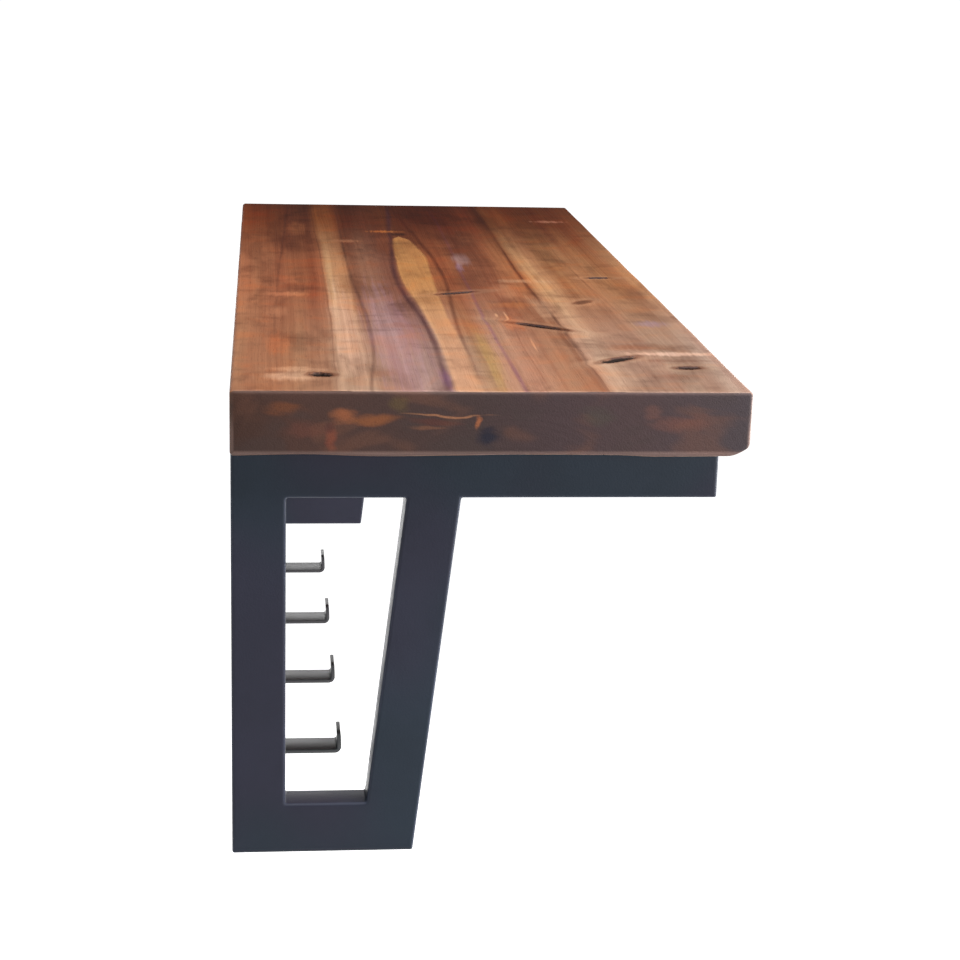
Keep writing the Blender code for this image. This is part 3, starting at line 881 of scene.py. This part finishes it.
def bracket_outline(side):
    """The bracket's outer corners, its window's corners and each part's share of it, all as (reach from
    the wall, height) pairs, and where it lies along the seat."""
    post_low, post_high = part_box(side + "_post")
    foot_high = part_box(side + "_foot")[1]
    brace_low, brace_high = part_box(side + "_brace")
    heel_low, heel_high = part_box(side + "_brace_end_plate")
    tip_low, tip_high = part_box(side + "_arm_end_plate")
    bottom, top = heel_low.z, post_high.z
    arm_bottom, foot_top, plate_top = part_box(side + "_arm")[0].z, foot_high.z, heel_high.z
    post_front, arm_end, reach = -post_low.y, -tip_high.y, -tip_low.y
    slope = (heel_low.y - brace_low.y) / (brace_high.z - bottom)

    def outer_brace(height):
        return -heel_low.y + slope * (height - bottom)

    def inner_brace(height):
        return -heel_high.y + slope * (height - bottom)

    outer = [
        (0.0, bottom),
        (outer_brace(bottom), bottom),
        (outer_brace(arm_bottom), arm_bottom),
        (reach, arm_bottom),
        (reach, top),
        (0.0, top),
    ]
    window = [
        (post_front, foot_top),
        (inner_brace(foot_top), foot_top),
        (inner_brace(arm_bottom), arm_bottom),
        (post_front, arm_bottom),
    ]
    # A part's share runs past the bracket's faces by a margin, and meets the next part's share inside it.
    over, under = top + PART_MARGIN, bottom - PART_MARGIN
    below_arm, above_foot = arm_bottom - PART_MARGIN, foot_top + PART_MARGIN
    brace_top = arm_bottom - BRACE_CUT_DROP
    behind, beyond = -PART_MARGIN, reach + PART_MARGIN
    shares = {
        "post": [(behind, plate_top), (post_front, plate_top), (post_front, over), (behind, over)],
        "post_end_plate": [
            (behind, under),
            (post_front, under),
            (post_front, plate_top),
            (behind, plate_top),
        ],
        "arm": [
            (post_front, below_arm),
            (inner_brace(below_arm), below_arm),
            (inner_brace(brace_top), brace_top),
            (arm_end, brace_top),
            (arm_end, over),
            (post_front, over),
        ],
        "arm_end_plate": [(arm_end, below_arm), (beyond, below_arm), (beyond, over), (arm_end, over)],
        "brace": [
            (inner_brace(plate_top), plate_top),
            (outer_brace(plate_top) + PART_MARGIN, plate_top),
            (outer_brace(brace_top) + PART_MARGIN, brace_top),
            (inner_brace(brace_top), brace_top),
        ],
        "brace_end_plate": [
            (inner_brace(under), under),
            (outer_brace(under) + PART_MARGIN, under),
            (outer_brace(plate_top) + PART_MARGIN, plate_top),
            (inner_brace(plate_top), plate_top),
        ],
        "foot": [
            (post_front, under),
            (inner_brace(under), under),
            (inner_brace(above_foot), above_foot),
            (post_front, above_foot),
        ],
    }
    return outer, window, shares, post_low.x, post_high.x


def rounded_corners(corners, radius):
    """The outline with each corner replaced by an arc-like curve."""
    points = []
    count = len(corners)
    for i, corner in enumerate(corners):
        here = Vector(corner)
        before = (Vector(corners[i - 1]) - here).normalized()
        after = (Vector(corners[(i + 1) % count]) - here).normalized()
        start, end = here + before * radius, here + after * radius
        for step in range(CORNER_STEPS + 1):
            share = step / CORNER_STEPS
            mixed = start * (1 - share) ** 2 + here * 2 * share * (1 - share) + end * share**2
            points.append(tuple(mixed))
    return points


def inset(corners, distance):
    """The outline with each side moved to its left, which is inwards where the corners run anticlockwise."""
    moved = []
    count = len(corners)
    for i, corner in enumerate(corners):
        here = Vector(corner)
        before = (here - Vector(corners[i - 1])).normalized()
        after = (Vector(corners[(i + 1) % count]) - here).normalized()
        left_before, left_after = Vector((-before.y, before.x)), Vector((-after.y, after.x))
        shift = (left_before + left_after) / (1 + left_before.dot(left_after))
        moved.append(tuple(here + shift * distance))
    return moved


def bracket_body(outer, window, low_x, high_x):
    """One bracket in a single closed mesh: rings round its outline and its window, from one side face over
    the rounded edge to the other, and the two side faces between them."""
    half = [(TUBE_EDGE + FLAT_RIM, 0.0)]
    for step in range(TUBE_EDGE_STEPS + 1):
        angle = math.radians(90 * step / TUBE_EDGE_STEPS)
        half.append((TUBE_EDGE * (1 - math.sin(angle)), TUBE_EDGE * (1 - math.cos(angle))))
    profile = [(drop, low_x + deep) for drop, deep in half]
    profile += [(drop, high_x - deep) for drop, deep in reversed(half)]
    bm = bmesh.new()
    rims = [[], []]
    for corners, is_window in ((outer, False), (window, True)):
        loops = []
        for drop, x in profile:
            if is_window:
                ring = rounded_corners(inset(corners, -drop), WINDOW_FILLET + drop)
            else:
                ring = rounded_corners(inset(corners, drop), max(TINY_ROUND, OUTER_ROUND - drop))
            loops.append([bm.verts.new((x, -reach, height)) for reach, height in ring])
        skin(bm, loops)
        for rim, loop in zip(rims, (loops[0], loops[-1])):
            rim += [bm.edges.get((loop[i - 1], loop[i])) for i in range(len(loop))]
    for rim in rims:
        bmesh.ops.triangle_fill(bm, use_beauty=True, edges=rim)
    bmesh.ops.recalc_face_normals(bm, faces=bm.faces)
    return bm


def wall_hole(x, z, front_y):
    """A drilled hole along Y, its mouth countersunk a little."""
    profile = [
        (WALL_HOLE_RADIUS, WALL_OVERRUN),
        (WALL_HOLE_RADIUS, front_y + HOLE_FLARE),
        (WALL_HOLE_RADIUS + HOLE_FLARE, front_y),
        (WALL_HOLE_RADIUS + 4 * HOLE_FLARE, front_y - 3 * HOLE_FLARE),
    ]
    return turned(profile, Vector((x, 0.0, z)), 1)


def arm_hollows(side, arm_bottom):
    """Room for each seat screw: a wide way in through the arm's bottom wall, the tube's hollow about the
    screw's head, and a narrow hole through its top wall."""
    half_hollow = TUBE_INSIDE / 2
    _, arm_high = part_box(side + "_arm")
    floor, ceiling = arm_bottom + TUBE_WALL, arm_high.z - TUBE_WALL
    hollows = []
    for number in SEAT_SCREW_NUMBERS:
        low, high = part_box(f"{side}_seat_screw_{number}")
        centre = Vector(((low.x + high.x) / 2, (low.y + high.y) / 2, 0.0))
        profile = [
            (SCREW_WAY_RADIUS + 4 * HOLE_FLARE, arm_bottom - 3 * HOLE_FLARE),
            (SCREW_WAY_RADIUS + HOLE_FLARE, arm_bottom),
            (SCREW_WAY_RADIUS, arm_bottom + HOLE_FLARE),
            (SCREW_WAY_RADIUS, floor),
            (half_hollow, floor),
            (half_hollow, ceiling),
            (SCREW_BORE_RADIUS, ceiling),
            (SCREW_BORE_RADIUS, arm_high.z + HOLE_FLARE),
        ]
        hollows.append(turned(profile, centre, 2))
    return hollows


def make_bracket(side, coat):
    outer, window, shares, low_x, high_x = bracket_outline(side)
    body = bracket_body(outer, window, low_x, high_x)
    top, post_front, arm_bottom = outer[-1][1], window[0][0], window[3][1]
    for part in BRACKET_PARTS:
        sides = (low_x - PART_MARGIN, high_x + PART_MARGIN)
        share = loft([[Vector((x, -reach, height)) for reach, height in shares[part]] for x in sides])
        bm = cut(body.copy(), [share], "INTERSECT")
        if part == "post":
            middle_x = (low_x + high_x) / 2
            bm = cut(bm, [wall_hole(middle_x, top - drop, -post_front) for drop in WALL_HOLE_DROPS])
        if part == "arm":
            bm = cut(bm, arm_hollows(side, arm_bottom))
        finish_piece(bm, f"{side}_bracket_{part}", coat, [f"{side}_{part}"], sharp_angle=32)
    body.free()


# --------------------------------------------------------------------------------------- rail and hooks

RAIL_EDGE = 0.0007
# The rail's wall holes, in steps of the hooks' spacing from its middle.
RAIL_HOLE_STEPS = (-2, -1, 1, 2)
BEAD_RADIUS = 0.0016
BEAD_INSET = 0.003
BEAD_STEPS = 44
BEAD_ROUND_STEPS = 8
BEAD_RIPPLES = 13
BEAD_RIPPLE = 0.10
BEAD_UNEVENNESS = 0.12
BEAD_TAPER = 6
BEAD_TIP = 0.25
BEAD_SUNK = (0.25, 0.2)


def weld_bead(x, side_sign, y, low_z, high_z):
    """A fillet weld down the joint between the rail's front face and a post."""
    rings = []
    for i in range(BEAD_STEPS + 1):
        share = i / BEAD_STEPS
        ripple = BEAD_RIPPLE * math.sin(2 * math.pi * share * BEAD_RIPPLES)
        ripple += BEAD_UNEVENNESS * noise.noise(Vector((share * 9, x, 0)))
        taper = min(1.0, BEAD_TAPER * share + BEAD_TIP, BEAD_TAPER * (1 - share) + BEAD_TIP)
        radius = BEAD_RADIUS * taper * (1 + ripple)
        height = low_z + (high_z - low_z) * share
        ring = []
        for k in range(BEAD_ROUND_STEPS):
            angle = 2 * math.pi * k / BEAD_ROUND_STEPS
            across = side_sign * radius * (BEAD_SUNK[0] + math.cos(angle))
            outward = radius * (BEAD_SUNK[1] + math.sin(angle))
            ring.append(Vector((x - across, y - outward, height)))
        rings.append(ring)
    return rings


def make_rail(coat):
    low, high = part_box("hook_rail")
    bm = bmesh.new()
    bmesh.ops.create_cube(bm, size=1.0)
    bmesh.ops.transform(bm, matrix=Matrix.LocRotScale((low + high) / 2, None, high - low), verts=bm.verts)
    bevel_sharp(bm, RAIL_EDGE, 3)
    hook_x = [(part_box(f"hook_{n}")[0].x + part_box(f"hook_{n}")[1].x) / 2 for n in HOOK_NUMBERS]
    spacing = hook_x[1] - hook_x[0]
    bm = cut(bm, [wall_hole(step * spacing, 0.0, low.y) for step in RAIL_HOLE_STEPS])
    for end_x, sign in ((low.x, -1), (high.x, 1)):
        loft(weld_bead(end_x, sign, low.y, low.z + BEAD_INSET, high.z - BEAD_INSET), bm)
    finish_piece(bm, "hook_rail_bar", coat, ["hook_rail"])


HOOK_THICKNESS = 0.0032
HOOK_TIP_RISE = 0.0184
HOOK_EDGE = 0.0005
HOOK_BEND = 0.0055
HOOK_CURL = 0.0007
HOOK_CURL_STEPS = 5
HOOK_TIP_CORNER = 0.0045
HOOK_CORNER_STEPS = 5
HOOK_BEND_STEPS = 8


def make_hook(number, coat):
    """One bent strip: its side outline carried across its width, its corners and edges rounded."""
    low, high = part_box(f"hook_{number}")
    back_top = high.z
    tip_top = low.z + HOOK_TIP_RISE
    inner_bend = HOOK_BEND - HOOK_THICKNESS
    bend_top = low.z + HOOK_BEND
    back_centre = (high.y - HOOK_BEND, bend_top)
    front_centre = (low.y + HOOK_BEND, bend_top)
    outline = [(high.y, back_top)]
    outline += arc(back_centre, HOOK_BEND, 0, -90, HOOK_BEND_STEPS)
    outline += arc(front_centre, HOOK_BEND, -90, -180, HOOK_BEND_STEPS)
    curl = []
    for step in range(1, HOOK_CURL_STEPS + 1):
        share = step / HOOK_CURL_STEPS
        curl.append((low.y + HOOK_CURL * share**2, bend_top + (tip_top - bend_top) * share))
    outline += curl
    outline += [(y + HOOK_THICKNESS, z) for y, z in reversed(curl)]
    outline += arc(front_centre, inner_bend, -180, -90, HOOK_BEND_STEPS)
    outline += arc(back_centre, inner_bend, -90, 0, HOOK_BEND_STEPS)
    outline.append((high.y - HOOK_THICKNESS, back_top))
    bm = loft([[Vector((x, y, z)) for y, z in outline] for x in (low.x, high.x)])
    bmesh.ops.recalc_face_normals(bm, faces=bm.faces)
    corners = []
    for edge in bm.edges:
        run = edge.verts[0].co - edge.verts[1].co
        ends = (edge.verts[0].co.z + edge.verts[1].co.z) / 2
        at_end = abs(ends - tip_top) < 1e-6 or abs(ends - back_top) < 1e-6
        if at_end and abs(run.y) > 0.9 * run.length:
            corners.append(edge)
    bmesh.ops.bevel(
        bm, geom=corners, offset=HOOK_TIP_CORNER, segments=HOOK_CORNER_STEPS, profile=0.5, affect="EDGES"
    )
    bevel_sharp(bm, HOOK_EDGE, 2)
    finish_piece(bm, f"bent_hook_{number}", coat, [f"hook_{number}"], sharp_angle=25)


# ---------------------------------------------------------------------------------------------- screws


HOOK_SCREW_STEPS = 40
HOOK_SCREW_DOME = 0.0006
HOOK_SCREW_TIP = 0.0005
RECESS_DEPTH = 0.0016
RECESS_ABOVE = 0.001

LAG_FLATS = 0.96
LAG_CHAMFER = 0.0006
LAG_HEAD_EDGE = 0.00025
LAG_HEAD_GAP = 0.0001
LAG_SHANK = 0.003
LAG_PITCH = 0.0026
LAG_GROOVE = 0.22
LAG_STEPS = 24
LAG_RINGS_PER_TURN = 4
LAG_THREAD_START = 0.0005
LAG_POINT = 0.006
WASHER_STEPS = 40
WASHER_LOWER_EDGE = 0.0004
WASHER_UPPER_EDGE = 0.0002


def cross_recess(centre, width):
    """The cross-shaped socket in the head of a screw along Y, as two cutters."""
    half_long, half_short = width / 2, width / 9
    cutters = []
    for a, b in ((half_long, half_short), (half_short, half_long)):
        rings = []
        for drop, scale in ((-RECESS_ABOVE, 1.15), (0.0, 1.0), (RECESS_DEPTH, 0.55)):
            p, q = a * scale, b * scale
            corners = ((-p, -q), (p, -q), (p, q), (-p, q))
            rings.append([centre + Vector((across, drop, up)) for across, up in corners])
        cutters.append(loft(rings))
    return cutters


def make_hook_screw(number, level, metal):
    """A countersunk screw whose head is flush with the hook's back."""
    node = f"hook_{number}_{level}_screw"
    low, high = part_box(node)
    centre = Vector(((low.x + high.x) / 2, low.y, (low.z + high.z) / 2))
    head, length = (high.x - low.x) / 2, high.y - low.y
    shank = 0.5 * head
    profile = [
        (0.55 * head, -HOOK_SCREW_DOME),
        (0.88 * head, -HOOK_SCREW_DOME / 2),
        (head, 0.0001),
        (head, 0.0004),
        (shank, head - shank),
        (shank, length - HOOK_SCREW_TIP),
        (0.8 * shank, length),
    ]
    bm = turned(profile, centre, 1, HOOK_SCREW_STEPS)
    bm = cut(bm, cross_recess(centre + Vector((0, -HOOK_SCREW_DOME, 0)), 1.1 * head))
    finish_piece(bm, f"countersunk_screw_{number}_{level}", metal, [node])


def make_seat_screw(side, number, metal):
    """A hex-head lag screw, up through its washer and the arm into the seat."""
    node = f"{side}_seat_screw_{number}"
    low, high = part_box(node)
    axis = Vector(((low.x + high.x) / 2, (low.y + high.y) / 2, 0.0))
    head_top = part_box(f"{side}_seat_washer_{number}")[0].z - LAG_HEAD_GAP
    hexagon = LAG_FLATS * (high.x - low.x) / math.sqrt(3)
    head = ((0.86 * hexagon, low.z), (hexagon, low.z + LAG_CHAMFER), (hexagon, head_top))
    bm = loft(rings_about(head, axis, 2, 6, turn=math.radians(10 * number)))
    bevel_sharp(bm, LAG_HEAD_EDGE, 2, 25)

    start, stop = head_top + LAG_THREAD_START, high.z - LAG_POINT
    count = int((stop - start) / LAG_PITCH * LAG_RINGS_PER_TURN)
    profile = []
    for i in range(count + 1):
        deep = LAG_GROOVE if i % LAG_RINGS_PER_TURN else 0.0
        profile.append((LAG_SHANK * (1 - deep), start + (stop - start) * i / count))
    profile += [(0.35 * LAG_SHANK, high.z - 0.001), (0.05 * LAG_SHANK, high.z)]
    loft(rings_about(profile, axis, 2, LAG_STEPS), bm)
    finish_piece(bm, f"{side}_lag_screw_{number}", metal, [node])


def make_washer(side, number, metal):
    """A flat washer with eased edges under a seat screw's head."""
    node = f"{side}_seat_washer_{number}"
    low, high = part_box(node)
    screw_low, screw_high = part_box(f"{side}_seat_screw_{number}")
    axis = Vector(((screw_low.x + screw_high.x) / 2, (screw_low.y + screw_high.y) / 2, 0.0))
    outer, bottom, top = (high.x - low.x) / 2, low.z, high.z
    profile = [
        (SCREW_BORE_RADIUS, bottom),
        (outer - WASHER_LOWER_EDGE, bottom),
        (outer, bottom + WASHER_LOWER_EDGE),
        (outer, top - WASHER_UPPER_EDGE),
        (outer - WASHER_UPPER_EDGE, top),
        (SCREW_BORE_RADIUS, top),
    ]
    bm = bmesh.new()
    rings = rings_about(profile, axis, 2, WASHER_STEPS)
    loops = [[bm.verts.new(point) for point in ring] for ring in rings]
    skin(bm, loops + loops[:1])
    finish_piece(bm, f"{side}_washer_{number}", metal, [node])


# ------------------------------------------------------------------------------- camera, lights, stage

CAMERA_PLACE = (-1.8043, -0.0233, 0.6382)
CAMERA_TURN = (74.725, -1.547, -95.758)
CAMERA_LENS = 77.41
SENSOR_WIDTH = 36.0
SEEN_WORLD_STRENGTH = 1.05
FLOOR_Z = -0.9
FLOOR_SIZE = 60.0


def make_camera():
    data = bpy.data.cameras.new("camera")
    data.lens = CAMERA_LENS
    data.sensor_width = SENSOR_WIDTH
    data.clip_start, data.clip_end = 0.05, 200.0
    camera = bpy.data.objects.new("camera", data)
    camera.location = CAMERA_PLACE
    camera.rotation_euler = [math.radians(angle) for angle in CAMERA_TURN]
    bpy.context.scene.collection.objects.link(camera)
    bpy.context.scene.camera = camera


def area_light(name, place, target, size, radiance, tint=(1.0, 1.0, 1.0), only_gloss=False):
    """A soft panel. Its power follows from its size and how bright it looks."""
    data = bpy.data.lights.new(name, "AREA")
    data.shape = "RECTANGLE"
    data.size, data.size_y = size
    data.energy = radiance * math.pi * size[0] * size[1]
    data.color = tint
    light = bpy.data.objects.new(name, data)
    light.location = place
    light.rotation_euler = (Vector(target) - Vector(place)).to_track_quat("-Z", "Y").to_euler()
    light.visible_camera = False
    light.visible_diffuse = not only_gloss
    bpy.context.scene.collection.objects.link(light)


def make_world():
    """White where the camera sees it. As a light it is soft grey, and darker towards the far end."""
    world = bpy.data.worlds.new("studio")
    bpy.context.scene.world = world
    world.use_nodes = True
    nodes, links = world.node_tree.nodes, world.node_tree.links
    nodes.clear()
    output = nodes.new("ShaderNodeOutputWorld")
    seen = nodes.new("ShaderNodeBackground")
    lit = nodes.new("ShaderNodeBackground")
    mix = nodes.new("ShaderNodeMixShader")
    path = nodes.new("ShaderNodeLightPath")
    where = nodes.new("ShaderNodeTexCoord")
    split = nodes.new("ShaderNodeSeparateXYZ")
    ramp = nodes.new("ShaderNodeMapRange")
    ramp.interpolation_type = "SMOOTHSTEP"
    for name, value in (("From Min", -0.2), ("From Max", 0.9), ("To Min", 0.12), ("To Max", 0.07)):
        ramp.inputs[name].default_value = value
    seen.inputs["Color"].default_value = (1.0, 1.0, 1.0, 1.0)
    seen.inputs["Strength"].default_value = SEEN_WORLD_STRENGTH
    lit.inputs["Color"].default_value = (0.96, 0.98, 1.0, 1.0)
    links.new(where.outputs["Generated"], split.inputs[0])
    links.new(split.outputs["X"], ramp.inputs["Value"])
    links.new(ramp.outputs[0], lit.inputs["Strength"])
    links.new(path.outputs["Is Camera Ray"], mix.inputs[0])
    links.new(lit.outputs[0], mix.inputs[1])
    links.new(seen.outputs[0], mix.inputs[2])
    links.new(mix.outputs[0], output.inputs["Surface"])


def make_floor():
    bm = bmesh.new()
    bmesh.ops.create_grid(bm, x_segments=1, y_segments=1, size=FLOOR_SIZE / 2)
    mesh = bpy.data.meshes.new("floor")
    bm.to_mesh(mesh)
    bm.free()
    shader = Shader("floor_white")
    shader.set(Base_Color=(0.9, 0.9, 0.9), Roughness=0.9)
    shader.surface.inputs["Emission Color"].default_value = (1.0, 1.0, 1.0, 1.0)
    shader.surface.inputs["Emission Strength"].default_value = 1.0
    mesh.materials.append(shader.material)
    floor = bpy.data.objects.new("floor", mesh)
    floor.location = (0.0, 0.0, FLOOR_Z)
    floor.visible_diffuse = False
    bpy.context.scene.collection.objects.link(floor)


def light_the_stage():
    seat_low, seat_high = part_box("seat_slab")
    near_end = (seat_low.x, (seat_low.y + seat_high.y) / 2, seat_high.z)
    middle = (0.0, -0.1, 0.15)
    area_light("over_the_near_end", (-0.75, -0.5, 1.75), near_end, (1.3, 1.1), 9.5, (1.0, 0.985, 0.96))
    area_light("near_side_fill", (-1.5, -1.25, 0.35), near_end, (0.8, 0.6), 9.5)
    area_light("front_fill", (-0.5, -2.6, 1.2), middle, (1.8, 1.4), 2.2)
    area_light("wall_side_fill", (-0.3, 2.4, 0.5), middle, (2.2, 1.6), 1.2)
    area_light("far_side_fill", (1.6, -1.3, 0.1), middle, (0.8, 0.6), 6.0)
    far_front = seat_high - Vector((0.03, 0.1, 0.1))
    area_light("between_fill", (-0.3, -1.3, 0.0), far_front, (0.7, 0.7), 9.0)
    # Two panels that only show as a sheen on the steel, both facing the near end.
    facing = Vector((-1.0, 0.0, 0.0))
    low_place, under_place = Vector((1.0, 0.0, -0.38)), Vector((0.56, -0.1, 0.17))
    area_light("low_gloss", low_place, low_place + facing, (1.2, 0.74), 3.0, only_gloss=True)
    area_light("under_seat_gloss", under_place, under_place + facing, (0.5, 0.26), 4.6, only_gloss=True)


bpy.context.scene.view_settings.view_transform = "Standard"
make_camera()
make_world()
make_floor()
light_the_stage()

frame_coat = powder_coat("frame_powder_coat", (0.029, 0.034, 0.053), gloss=0.2)
hook_coat = powder_coat("hook_powder_coat", (0.017, 0.018, 0.022), gloss=0.6, edge_highlight_gain=1.0, peel=0.00005)
zinc = screw_metal("black_zinc", (0.10, 0.10, 0.105), 0.34)

make_seat()
for side_name in SIDES:
    make_bracket(side_name, frame_coat)
    for screw_number in SEAT_SCREW_NUMBERS:
        make_seat_screw(side_name, screw_number, zinc)
        make_washer(side_name, screw_number, zinc)
make_rail(frame_coat)
for hook_number in HOOK_NUMBERS:
    make_hook(hook_number, hook_coat)
    for screw_level in ("lower", "upper"):
        make_hook_screw(hook_number, screw_level, zinc)
